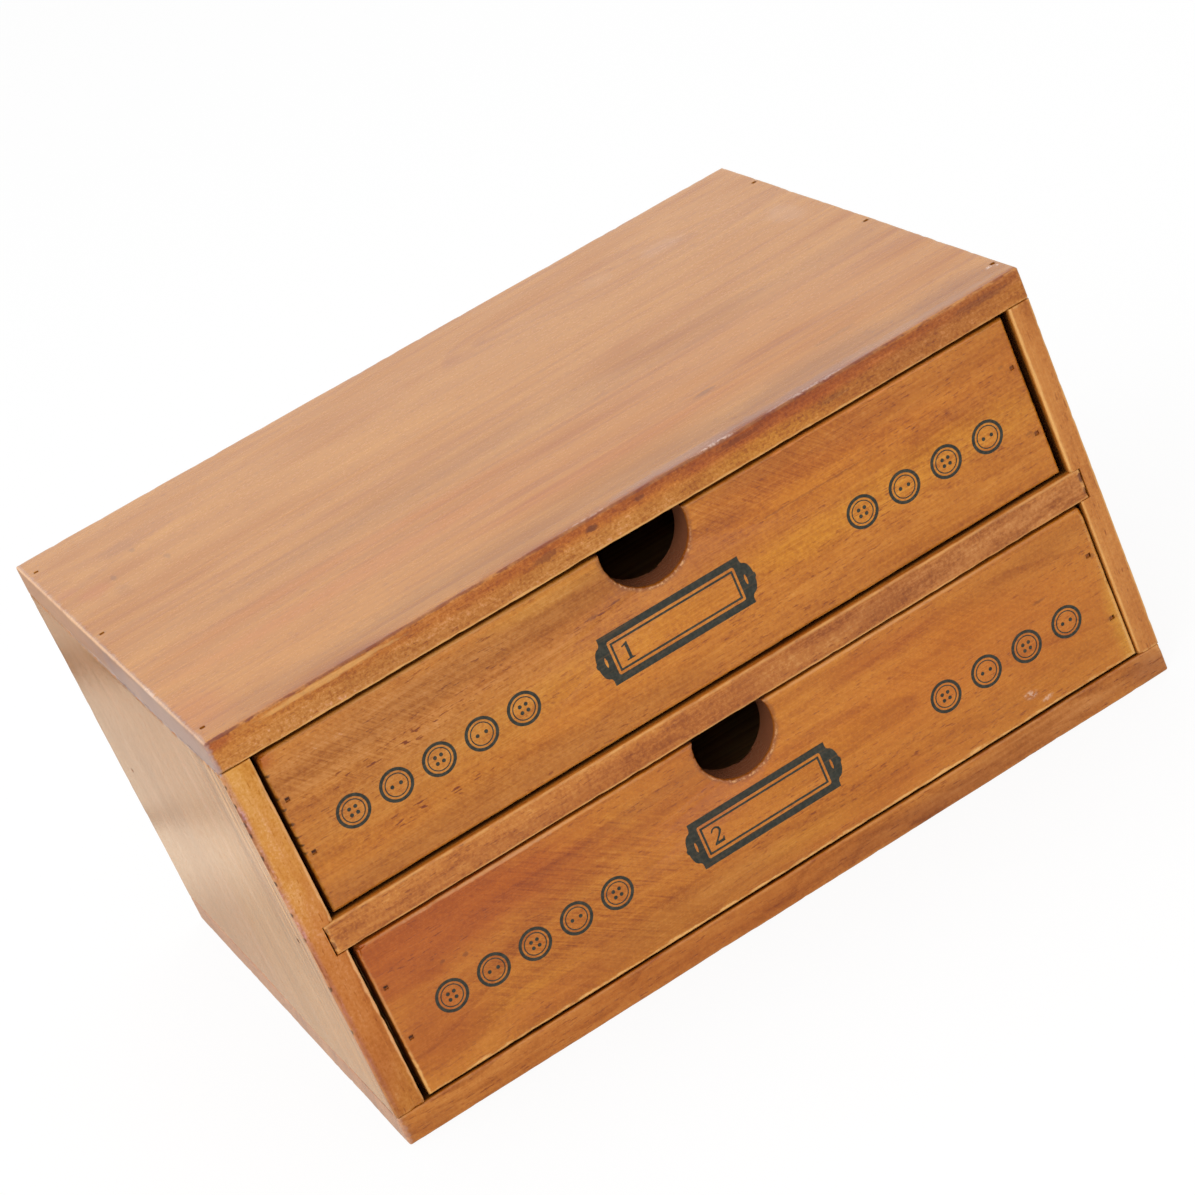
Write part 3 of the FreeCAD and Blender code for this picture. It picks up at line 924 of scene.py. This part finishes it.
top_board = dict(
    grain=SIDEWAYS, ramp=top_shades, seed=1.0, heart=(0.055, -0.060), ring_width=0.0026, figure=0.72,
    grit=(1.6, 0.14), fine=(1.6, 0.35), streaky=1.7, wear=0.30, end_share=0.2,
    nails=nail_islands("top_nails"), bay_sides=((UPRIGHT, -1.0),),
    stains=(
        (rose_brown, on_top((0.5, 0.0, face_y + 0.012, 0.13, 0.011), deep=0.001)),
        (faded, on_front((0.75, -0.105, 0.1225, 0.036, 0.004), (0.8, -0.012, 0.1225, 0.026, 0.004))),
        (ashen, on_front((0.9, -0.085, 0.122, 0.06, 0.005), (0.9, -0.012, 0.122, 0.05, 0.0045))),
        (russet, on_front((0.35, -0.065, 0.1225, 0.075, 0.0045))),
        (end_dark, on_left((0.95, -0.06, 0.124, 0.09, 0.012))),
        (honey, on_front((0.6, 0.043, 0.1225, 0.02, 0.003), deep=0.004)),
        (orange_stain, on_top(
            (0.5, -0.07, -0.046, 0.07, 0.007), (0.35, -0.06, -0.03, 0.06, 0.004),
            (0.35, 0.01, -0.062, 0.05, 0.004), (0.5, -0.12, -0.07, 0.012, 0.02),
        )),
        (amber, on_top((0.9, 0.04, -0.045, 0.12, 0.05), (0.6, -0.09, -0.045, 0.07, 0.05))),
        (greyed, on_top(
            (1.0, 0.0, -0.014, 0.15, 0.014), (1.0, 0.06, -0.083, 0.1, 0.012),
            (0.7, -0.06, -0.082, 0.08, 0.01),
        )),
        (wine_stain, on_top((0.5, 0.035, face_y, 0.105, 0.005), deep=0.0011)
            + on_top((0.6, -0.09, face_y, 0.04, 0.004), deep=0.001)),
        (umber, on_left((0.9, 0.0, 0.124, ANYWHERE, ANYWHERE)) + on_top(
            (0.35, 0.03, -0.02, 0.07, 0.006), (0.3, -0.06, -0.016, 0.06, 0.006),
            (0.25, -0.03, -0.083, 0.12, 0.01), (0.5, 0.08, -0.083, 0.07, 0.012),
            (0.8, 0.108, -0.083, 0.03, 0.014), (0.4, 0.105, -0.015, 0.035, 0.014),
            (0.6, -0.1, 0.06, 0.009, 0.006), (0.5, -0.108, 0.03, 0.003, 0.006),
        ) + on_front(
            (0.95, 0.092, 0.124, 0.04, 0.006), (0.9, 0.108, 0.1275, 0.032, 0.0035),
            (0.8, 0.06, 0.1283, 0.1, 0.0028),
            deep=0.004,
        )),
        (front_edge_red, on_front((1.0, 0.0, 0.125, ANYWHERE, ANYWHERE))),
        (fox_red, on_front(
            (0.5, 0.04, 0.1282, 0.15, 0.0022), (0.4, -0.055, 0.1275, 0.045, 0.003),
            (0.7, 0.023, 0.127, 0.009, 0.0025), (0.95, -0.122, 0.1278, 0.006, 0.002),
            (0.9, 0.075, 0.1275, 0.065, 0.0032),
            deep=0.004,
        )),
        (orange_stain, on_front((0.55, 0.02, 0.127, 0.085, 0.0028))),
    ),
    marks=(
        # Pale arris lines: partly wear through the stain, partly painted highlight.
        (peach_wear_and_highlight, on_left((0.3, 0.0, top_z, 0.2, 0.0008), deep=0.0008)),
        (gold_wear_and_highlight, on_left((0.4, 0.0, top_z, 0.200, 0.0008), deep=0.0008)
            + on_front((0.55, -0.03, ceiling_z, 0.2, 0.0011), deep=0.0011)
            + on_front((0.45, -0.09, 0.1278, 0.026, 0.0011))),
        # Painted sheen: lavender over the front of the left end and along the top's front arris.
        (lavender_sheen_and_joint, on_left((0.26, -0.046, 0.124, 0.08, 0.0075)) + on_top(
            (0.2, 0.02, face_y + 0.003, 0.03, 0.003), (0.16, 0.07, face_y + 0.003, 0.065, 0.003),
            deep=0.0006,
        )),
        (haze, on_left((0.24, 0.0, 0.1245, ANYWHERE, ANYWHERE)) + on_top(
            (0.1, 0.085, 0.0555, 0.01, 0.006), (0.09, 0.115, 0.0292, 0.006, 0.013),
            (0.05, 0.063, 0.0562, 0.006, 0.006),
            deep=0.002,
        )),
        (knot_orange, on_top(
            (0.4, -0.1143, 0.0395, 0.006, 0.0065), (0.3, -0.1205, 0.049, 0.004, 0.005),
            deep=0.002,
        )),
        (wine_red, on_front(
            (0.8, -0.118, 0.1293, 0.012, 0.0008), (0.6, -0.07, 0.1293, 0.06, 0.0006),
            deep=0.0012,
        ) + on_front((0.5, 0.02, 0.1293, 0.12, 0.0006), deep=0.001)),
        (smudge_and_shade_brown, on_front(
            (0.5, -0.025, 0.1262, 0.0055, 0.0014), (0.85, -0.0112, 0.1268, 0.0024, 0.0011),
            (0.6, 0.0039, 0.1273, 0.0018, 0.0009), (0.55, -0.122, ceiling_z, 0.005, 0.001),
            (0.4, 0.035, 0.1275, 0.01, 0.001), (0.4, 0.064, 0.124, 0.006, 0.001),
            (0.4, 0.112, 0.1265, 0.01, 0.0014),
        ) + on_top(
            (0.45, 0.042, -0.057, 0.0045, 0.0014), (0.3, 0.078, -0.068, 0.008, 0.0013),
            (0.4, -0.1075, 0.042, 0.0012, 0.003), (0.3, -0.092, 0.036, 0.001, 0.004),
            (0.35, -0.0975, 0.0538, 0.0012, 0.0022),
            deep=0.002,
        )),
        # Painted glints: pale specks along the top's front arris, on its left end's arris and beside one
        # nail head.
        (scuff_and_glint_white, on_top((0.6, 0.028, face_y + 0.0008, 0.01, 0.001), deep=0.0008) + on_top(
            (0.35, 0.058, face_y + 0.0009, 0.016, 0.0008), (0.3, -0.01, face_y + 0.0010, 0.01, 0.0008),
            deep=0.0007,
        ) + on_left((0.6, -0.043, top_z, 0.008, 0.0009), deep=0.001) + on_top(
            (0.8, glinting_nail.x - 0.0017, glinting_nail.y - 0.0006, 0.0013, 0.001),
            (0.7, glinting_nail.x - 0.0002, glinting_nail.y - 0.0020, 0.001, 0.0008),
            deep=0.001,
        )),
    ),
)

bottom_board = dict(
    grain=SIDEWAYS, ramp=edge_shades, seed=3.0, heart=(0.030, 0.055), figure=1.2, grit=(0.5, 0.3),
    cloudy=0.60, wear=0.2, bay_clear=0.0012, end_share=0.0, gloss=0.18, coat=0.10,
    nails=nail_islands("bottom_nails"), bay_sides=((UPRIGHT, 1.0),),
    stains=(
        (fox_red, on_front((0.35, -0.04, 0.004, 0.07, 0.01), deep=0.01)),
        (rose_brown, on_left((1.0, 0.0, 0.0045, ANYWHERE, ANYWHERE), deep=0.003) + on_front(
            (0.5, 0.08, 0.004, 0.06, 0.006), (0.9, 0.12, 0.005, 0.012, 0.007),
            deep=0.02,
        )),
        (faded, on_front((0.7, -0.095, 0.0068, 0.04, 0.003), (0.8, 0.096, 0.006, 0.022, 0.004), deep=0.01)),
        (umber, on_left((0.5, 0.0, 0.0045, ANYWHERE, ANYWHERE), deep=0.003) + on_front(
            (0.8, 0.036, 0.0035, 0.034, 0.004), (0.6, 0.118, 0.0035, 0.012, 0.007),
            (0.5, -0.117, 0.003, 0.012, 0.003),
            deep=0.01,
        )),
    ),
    marks=(
        (haze, on_left((0.2, 0.0, 0.0045, ANYWHERE, ANYWHERE))),
    ),
)

left_side_board = dict(
    grain=UPRIGHT, ramp=golden_shades, seed=5.0, heart=(0.050, 0.060), ring_width=0.0024, figure=0.8,
    grit=(0.8, 0.3), cloudy=0.58, wear=0.25, nails=nail_islands("divider_nails"), nail_axis=SIDEWAYS,
    bay_sides=((SIDEWAYS, 1.0),), ridged=True, gloss=0.16, coat=0.10,
    stains=(
        (front_edge_red, on_front((1.0, -0.12, 0.05, 0.03, 0.07))),
        (fox_red, on_front((0.45, -0.12, 0.045, 0.012, 0.05))),
        (faded, on_front((0.5, -0.120, 0.112, 0.012, 0.020))
            + on_left((0.9, 0.058, 0.104, 0.055, 0.02), deep=0.002)),
        (russet, on_front((0.4, -0.12, 0.11, 0.012, 0.018))),
        (side_brown, on_left((1.0, 0.0, 0.065, ANYWHERE, ANYWHERE), deep=0.002)),
        (honey, on_left((0.4, -0.045, 0.045, 0.05, 0.06), deep=0.002)),
        (umber, on_front((0.5, -0.120, 0.008, 0.012, 0.030), deep=0.004)
            + on_left((0.35, 0.06, 0.075, 0.06, 0.045), deep=0.002)),
    ),
    marks=(
        # A pale line on the inner arris: partly wear, partly painted highlight.
        (peach_wear_and_highlight, on_front((0.7, left_board_high.x, 0.064, 0.0012, 0.11), deep=0.0012)),
        (smudge_and_shade_brown, on_left(
            (0.8, -0.08, 0.064, 0.0016, 0.0011), (0.6, -0.081, 0.046, 0.0012, 0.003),
            (0.2, -0.04, 0.028, 0.006, 0.024), (0.2, -0.028, 0.035, 0.003, 0.03),
            deep=0.001,
        ) + on_left((0.35, -0.04, left_board_high.z, 0.08, 0.0008), deep=0.0012)),
        # A pale lavender line at the joint with the top board.
        (lavender_sheen_and_joint, on_left((0.7, -0.03, left_board_high.z, 0.11, 0.001), deep=0.0014)),
        (wine_red, on_left((0.6, face_y, 0.100, 0.0009, 0.020), deep=0.0009)
            + on_left((0.5, face_y, 0.062, 0.0008, 0.016), deep=0.0008)),
        (nick_brown, on_left(
            *((0.8, face_y + 0.0006, height, 0.001, 0.0011) for height in left_nicks),
            deep=0.0007,
        )),
    ),
)

right_side_board = dict(
    grain=UPRIGHT, ramp=edge_shades, seed=7.0, heart=(-0.050, 0.060), ring_width=0.0024, figure=0.65,
    grit=(0.5, 0.3), cloudy=0.58, nails=nail_islands("divider_nails"), nail_axis=SIDEWAYS, bay_clear=0.0026,
    bay_sides=((SIDEWAYS, -1.0),),
    stains=(
        (faded, on_front((0.9, 0.1215, 0.06, 0.01, 0.08), deep=0.01)),
    ),
    marks=(
        # Pale arris lines: partly wear, partly painted highlight.
        (gold_wear_and_highlight, on_front(
            (0.6, right_board_low.x, 0.094, 0.001, 0.05), (0.45, right_board_low.x, 0.034, 0.0008, 0.04),
            deep=0.0014,
        ) + on_front((0.5, cad_high.x, 0.06, 0.0009, 0.11), deep=0.001)),
    ),
)

divider_shelf = dict(
    grain=SIDEWAYS, ramp=edge_shades, seed=9.0, heart=(0.040, 0.050), figure=1.1, grit=(0.9, 0.3),
    bay_clear=0.0024, bay_sides=((UPRIGHT, 1.0), (UPRIGHT, -1.0)),
    stains=(
        (rose_brown, on_front((0.5, 0.09, 0.064, 0.06, 0.006), deep=0.02)),
        (faded, on_front(
            (0.3, -0.07, 0.0665, 0.06, 0.003), (0.8, 0.108, 0.064, 0.024, 0.006),
            (0.6, 0.073, 0.064, 0.014, 0.006),
            deep=0.01,
        )),
        (amber, on_front((0.9, -0.03, 0.064, 0.11, 0.008), deep=0.01)),
        (umber, on_front((0.5, -0.05, 0.0625, 0.08, 0.003), (0.7, 0.028, 0.064, 0.05, 0.006), deep=0.01)),
    ),
    marks=(
        # Pale arris lines: partly wear, partly painted highlight.
        (gold_wear_and_highlight, on_front(
            (0.45, 0.0, divider_low.z, 0.22, 0.0009), (0.12, 0.0, divider_high.z, 0.2, 0.0008),
            deep=0.0009,
        )),
        (smudge_and_shade_brown, on_front(
            (0.7, divider_low.x, 0.0625, 0.0007, 0.0022), (0.6, divider_low.x, 0.067, 0.0006, 0.001),
            (0.9, divider_high.x, 0.066, 0.0009, 0.0026), (0.7, divider_high.x, 0.062, 0.0008, 0.0014),
        )),
    ),
)

case_boards = {
    "top_board": top_board,
    "bottom_board": bottom_board,
    "left_side_board": left_side_board,
    "right_side_board": right_side_board,
    "divider_shelf": divider_shelf,
}
for number, (node, facts) in enumerate(case_boards.items()):
    finish = stained_wood(node + "_stain", node, **facts)
    depth = left_board_wear if node == "left_side_board" else board_wear
    let_in = node == "divider_shelf"
    worn_board(node, "case", finish, depth, 3.7 * number, let_in=let_in)

# -------- the drawers


upper_low, upper_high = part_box("upper_drawer_front")
lower_low, lower_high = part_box("lower_drawer_front")
on_upper = face_patches(INWARD, upper_low.y, ANYWHERE)
on_lower = face_patches(INWARD, lower_low.y, ANYWHERE)
upper_nicks = (0.088, 0.0905, 0.093, 0.097, 0.1015, 0.105, 0.112)

upper_front = dict(
    seed=11.0, figure=0.62, cloudy=0.17, grit=(0.62, 0.4), fine=(2.0, 1.0),
    arch=(-0.030, 0.0812, 0.0330, 1.50),
    planed=(45.0, 0.60, on_upper(
        (0.9, -0.08, 0.108, 0.05, 0.014), (1.0, 0.04, 0.113, 0.045, 0.009),
        (0.4, -0.06, 0.078, 0.06, 0.008),
    )),
    dashes=on_upper(
        (1.0, -0.078, 0.1015, 0.04, 0.0035), (0.9, -0.08, 0.0825, 0.026, 0.003),
        (0.8, -0.022, 0.1035, 0.014, 0.002), (0.4, 0.06, 0.086, 0.06, 0.006),
        (0.4, 0.085, 0.104, 0.03, 0.004),
    ),
    stains=(
        (rose_brown, on_upper((0.45, -0.06, 0.108, 0.075, 0.011), (0.7, -0.06, 0.074, 0.08, 0.007))),
        (ashen, on_upper((0.4, -0.085, 0.11, 0.045, 0.01), (0.8, -0.08, 0.091, 0.06, 0.01))),
        (russet, on_upper((0.85, -0.085, 0.108, 0.12, 0.022))),
        (faded, on_upper((0.9, -0.06, 0.103, 0.07, 0.0055), (0.7, -0.042, 0.113, 0.022, 0.0045))),
        (orange_stain, on_upper((0.25, 0.06, 0.106, 0.075, 0.008), (0.3, -0.04, 0.104, 0.05, 0.004))),
        (honey, on_upper(
            (0.85, 0.072, 0.092, 0.062, 0.0075), (0.35, 0.055, 0.103, 0.035, 0.005),
            (0.45, -0.025, 0.092, 0.06, 0.007), (0.5, -0.03, 0.1155, 0.025, 0.003),
        )),
        (umber, on_upper(
            (0.9, 0.038, 0.1152, 0.022, 0.004), (0.75, 0.022, 0.109, 0.012, 0.0045),
            (0.65, 0.068, 0.1148, 0.018, 0.003), (0.35, 0.105, 0.112, 0.02, 0.008),
            (0.6, 0.07, 0.1125, 0.065, 0.0065), (0.4, 0.014, 0.1, 0.016, 0.012),
            (0.4, -0.108, 0.074, 0.016, 0.007), (0.25, -0.06, 0.074, 0.06, 0.005),
        )),
        (fox_red, on_upper((0.3, 0.055, 0.114, 0.06, 0.006), (0.8, -0.1135, 0.1165, 0.0045, 0.0035))),
    ),
    marks=(
        # Orange and pale arris lines: partly wear, partly painted highlight.
        (orange_wear_and_highlight, on_upper((0.75, 0.068, upper_high.z, 0.056, 0.0012), deep=0.0012)),
        (gold_wear_and_highlight, on_upper(
            (0.3, -0.06, upper_high.z, 0.06, 0.0009), (0.3, 0.0, upper_low.z, 0.2, 0.0009),
            deep=0.001,
        )),
        (nick_brown, on_upper(
            *((0.75, upper_low.x, height, 0.0013, 0.0006) for height in upper_nicks),
            deep=0.0015,
        )),
        (smudge_and_shade_brown, on_upper(
            (0.4, -0.02, 0.1038, 0.0022, 0.0006), (0.4, -0.013, 0.1044, 0.0018, 0.0005),
            (0.3, 0.048, 0.103, 0.024, 0.0004), (0.35, 0.111, 0.1055, 0.0013, 0.0006),
            (0.4, 0.112, 0.0845, 0.0014, 0.0006),
            deep=0.002,
        )),
    ),
)

lower_front = dict(
    seed=13.0, figure=0.75, cloudy=0.34, grit=(0.46, 0.4),
    planed=(37.0, 0.60, on_lower((1.0, -0.055, 0.036, 0.05, 0.03), (0.4, 0.06, 0.045, 0.05, 0.012))),
    dashes=on_lower((0.5, 0.03, 0.022, 0.07, 0.008)),
    stains=(
        (fox_red, on_lower(
            (1.0, -0.09, 0.05, 0.06, 0.017), (0.6, -0.104, 0.028, 0.016, 0.018),
            (0.45, -0.015, 0.048, 0.026, 0.012), (0.35, 0.035, 0.014, 0.05, 0.006),
            (0.45, 0.05, 0.053, 0.022, 0.005), (0.9, -0.1125, 0.0565, 0.0045, 0.0035),
            (0.35, -0.072, 0.0155, 0.026, 0.005),
        )),
        (umber, on_lower(
            (0.35, -0.07, 0.034, 0.06, 0.007), (0.25, -0.06, 0.03, 0.075, 0.028),
            (0.45, -0.062, 0.0245, 0.02, 0.0045), (0.35, 0.045, 0.0525, 0.03, 0.004),
        )),
        (orange_stain, on_lower((0.35, 0.07, 0.036, 0.06, 0.018), (0.3, -0.01, 0.04, 0.04, 0.008))),
        (honey, on_lower(
            (0.4, 0.024, 0.034, 0.034, 0.006), (0.55, 0.014, 0.016, 0.024, 0.004),
            (0.4, -0.08, 0.021, 0.018, 0.0022), (0.35, -0.045, 0.053, 0.014, 0.0022),
            (0.35, -0.02, 0.044, 0.01, 0.003),
        )),
        (end_pale, on_lower((0.75, lower_high.x + 0.0010, 0.018, 0.005, 0.026))),
        (faded, on_lower((0.4, -0.095, 0.014, 0.03, 0.005), (0.3, 0.0, 0.052, 0.09, 0.003))),
        (rose_brown, on_lower((0.6, -0.02, 0.016, 0.05, 0.007), (0.5, 0.1, 0.052, 0.03, 0.006))),
    ),
    marks=(
        # Pale arris lines: partly wear, partly painted highlight.
        (gold_wear_and_highlight, on_lower((0.95, 0.0, lower_low.z, 0.200, 0.0016), deep=0.0016)
            + on_lower((0.75, lower_high.x + 0.0008, 0.022, 0.0014, 0.034), deep=0.0018)
            + on_lower((0.75, lower_low.x, 0.014, 0.001, 0.016), deep=0.0012)),
        (peach_wear_and_highlight, on_lower(
            (0.4, -0.07, lower_high.z, 0.05, 0.0011), (0.35, 0.05, lower_high.z, 0.06, 0.0009),
            deep=0.0012,
        ) + on_lower((0.4, lower_low.x, 0.04, 0.0008, 0.024), deep=0.001)),
        (scuff_and_glint_white, on_lower(
            (0.55, 0.084, 0.0163, 0.0028, 0.0015), (0.45, 0.0885, 0.013, 0.0022, 0.001),
            deep=0.002,
        )),
        (smudge_and_shade_brown, on_lower(
            (0.45, 0.096, 0.04, 0.003, 0.0007), (0.5, -0.0955, 0.042, 0.001, 0.0008),
            (0.5, -0.0892, 0.0403, 0.001, 0.0008), (0.4, 0.1155, 0.0435, 0.001, 0.0009),
            deep=0.002,
        )),
    ),
)

for drawer, facts in (("upper", upper_front), ("lower", lower_front)):
    body = drawer + "_drawer"
    node = body + "_front"
    low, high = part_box(node)
    notch = ((low.x + high.x) / 2, high.z - notch_drop[drawer], notch_radius[drawer])
    finish = stained_wood(
        node + "_stain", node, SIDEWAYS, front_shades, heart=(0.042, 0.002), ring_width=0.0021, wear=0.35,
        nails=nail_islands(node + "_nails"), nail_shade=0.30, nail_axis=INWARD, cut_rim=notch, **facts,
    )
    corners = [
        ((x, low.y, high.z), corner_reach, wear) for x, wear in zip((low.x, high.x), corner_wear[drawer])
    ]
    worn_board(
        node, body, finish, front_wear, facts["seed"],
        chips=corners, notch=notch, ends=splay[drawer],
    )
    ink = printing_ink(body + "_ink", facts["seed"])
    label_frame(drawer, ink)
    number_on_label(drawer, figure_one() if drawer == "upper" else figure_two(), ink)
    button_row(drawer, "left", ink)
    button_row(drawer, "right", ink)

# -------- hidden boards and nails


def dress(node, material):
    """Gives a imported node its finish."""
    slots = frame["nodes"][node].data.materials
    if not slots:
        slots.append(material)
    for index in range(len(slots)):
        slots[index] = material


def driven_along(node):
    """The axis that the nails of a node are driven along."""
    if node in ("top_nails", "bottom_nails") or node.endswith("_tacks"):
        return UPRIGHT
    if node.endswith(("divider_nails", "drawer_back_nails")):
        return SIDEWAYS
    return INWARD


box_tones = {"pale": stain(204, 164, 112), "dark": stain(186, 140, 86), "line": stain(158, 106, 56)}
ply_tones = {"pale": stain(196, 152, 98), "dark": stain(178, 130, 76), "line": stain(146, 96, 48)}
back_tones = {"pale": stain(176, 116, 58), "dark": stain(156, 94, 40), "line": stain(122, 68, 24)}

for number, node in enumerate(frame["nodes"]):
    if node.endswith(("_nails", "_brads", "_tacks")):
        along = driven_along(node)
        stretch = UPRIGHT if along == SIDEWAYS else SIDEWAYS
        dress(node, stained_over_steel(node + "_steel", node, along, stretch, number * 1.1))
    elif node.endswith(("drawer_left_side", "drawer_right_side")):
        dress(node, plain_wood(node + "_wood", INWARD, box_tones, number * 1.3))
    elif node.endswith("drawer_back"):
        dress(node, plain_wood(node + "_wood", SIDEWAYS, box_tones, number * 1.3))
    elif node.endswith("drawer_bottom"):
        dress(node, plain_wood(node + "_ply", SIDEWAYS, ply_tones, number * 1.3))
    elif node == "back_panel":
        dress(node, plain_wood("back_panel_ply", SIDEWAYS, back_tones, 2.0, 0.5))

# -------- studio


white_light = (1.0, 1.0, 1.0, 1.0)
# Warm glow that only a gloss sees on the floor: a painted reflection of warm bounce light.
warm_bounce_glow = (1.0, 0.90, 0.72, 1.0)
paper_grey = (0.92, 0.92, 0.92, 1.0)
paper_reach = 3.0
reflection_band_light = 1.4


def painted_reflection_bands(paper):
    """How bright a gloss sees each part of the floor: a painted reflection of soft light and dark bands
    that run on a slant.
    """
    slant = paper.axes[SIDEWAYS] * 0.675 - paper.axes[INWARD] * 0.738
    near = slant.fall(-0.195, -0.148) * paper.axes[SIDEWAYS].rise(-0.164, -0.146, 0.16, 0.30)
    level = near + slant.rise(-0.14, -0.09, 0.44, 0.50)
    for distance, width, depth in ((0.217, 0.005, 0.14), (0.336, 0.010, 0.16)):
        level = level - (slant + distance).fall(-width, width) * depth
    for distance, core, edge, depth in ((0.217, 0.001, 0.012, 0.26), (0.345, 0.004, 0.024, 0.30)):
        level = level - abs(slant + distance).fall(core, edge) * depth
    return level


def studio_floor():
    """Pale paper that keeps the object's shadow and is white round it; a gloss sees a painted reflection of
    warm glow in slanted bands.
    """
    made = bmesh.new()
    bmesh.ops.create_grid(made, x_segments=8, y_segments=8, size=paper_reach)
    mesh = bpy.data.meshes.new("studio_floor")
    made.to_mesh(mesh)
    made.free()
    paper = Finish("studio_paper", Roughness=0.9, Base_Color=paper_grey)
    camera_ray = paper.ray("Camera")
    white = paper.light("ShaderNodeEmission", white_light, 1.0)
    bounce_glow = paper.light("ShaderNodeEmission", warm_bounce_glow, 1.0)
    unlit = paper.light("ShaderNodeEmission", white_light, 0.0)
    # Painted reflection: the gloss sees warm glow, dimmed in slanted bands.
    gloss_bands = paper.blend(painted_reflection_bands(paper) * reflection_band_light, unlit, bounce_glow)
    glow = paper.blend(camera_ray, gloss_bands, white)
    shadowed = Signal(paper, paper.surface.outputs[0])
    shown = paper.blend(camera_ray * 0.90 + paper.ray("Glossy") * 0.95, shadowed, glow)
    paper.tree.links.new(shown.socket, paper.tree.nodes["Material Output"].inputs["Surface"])
    mesh.materials.append(paper.material)
    linked("studio_floor", mesh)


def soft_world(diffuse_level, white_level):
    """Even light from all round; a ray from the camera or off a gloss sees white."""
    world = bpy.data.worlds.new("studio_air")
    bpy.context.scene.world = world
    air = Nodes(world)
    air.tree.nodes.clear()
    seen = air.ray("Camera").most(air.ray("Glossy"))
    soft = air.light("ShaderNodeBackground", white_light, diffuse_level)
    white = air.light("ShaderNodeBackground", white_light, white_level)
    air.node("ShaderNodeOutputWorld", inputs={"Surface": air.blend(seen, soft, white)})


def aim(thing, place, target, roll=0.0):
    """Puts a lamp or the camera at a place, turned to a target."""
    place = Vector(place)
    thing.location = place
    thing.rotation_mode = "QUATERNION"
    level = (Vector(target) - place).to_track_quat("-Z", "Y")
    thing.rotation_quaternion = level @ Quaternion((0.0, 0.0, 1.0), -roll)


def soft_box(name, place, target, size, power):
    light = bpy.data.lights.new(name, "AREA")
    light.shape = "RECTANGLE"
    light.size = light.size_y = size
    light.energy = power
    lamp = linked(name, light)
    aim(lamp, place, target)
    lamp.visible_glossy = False


def studio_camera():
    lens = bpy.data.cameras.new("studio_camera")
    lens.sensor_width = 36.0
    lens.lens = 107.296
    camera = linked("studio_camera", lens)
    place = (-0.236728, -0.895485, 0.485407)
    aim(camera, place, (0.007118, -0.000719, 0.067364), roll=math.radians(24.335))
    bpy.context.scene.camera = camera


studio_floor()
soft_world(0.68, 1.0)
soft_box("key_soft_box", (-0.9, -1.4, 1.5), (0.0, 0.0, 0.06), 1.2, 19.0)
soft_box("overhead_soft_box", (0.2, 0.6, 1.7), (0.0, 0.0, 0.13), 1.4, 7.0)
soft_box("left_soft_box", (-1.9, 0.3, 0.6), (-0.125, 0.0, 0.06), 1.0, 11.0)
studio_camera()
bpy.context.scene.view_settings.view_transform = "Standard"
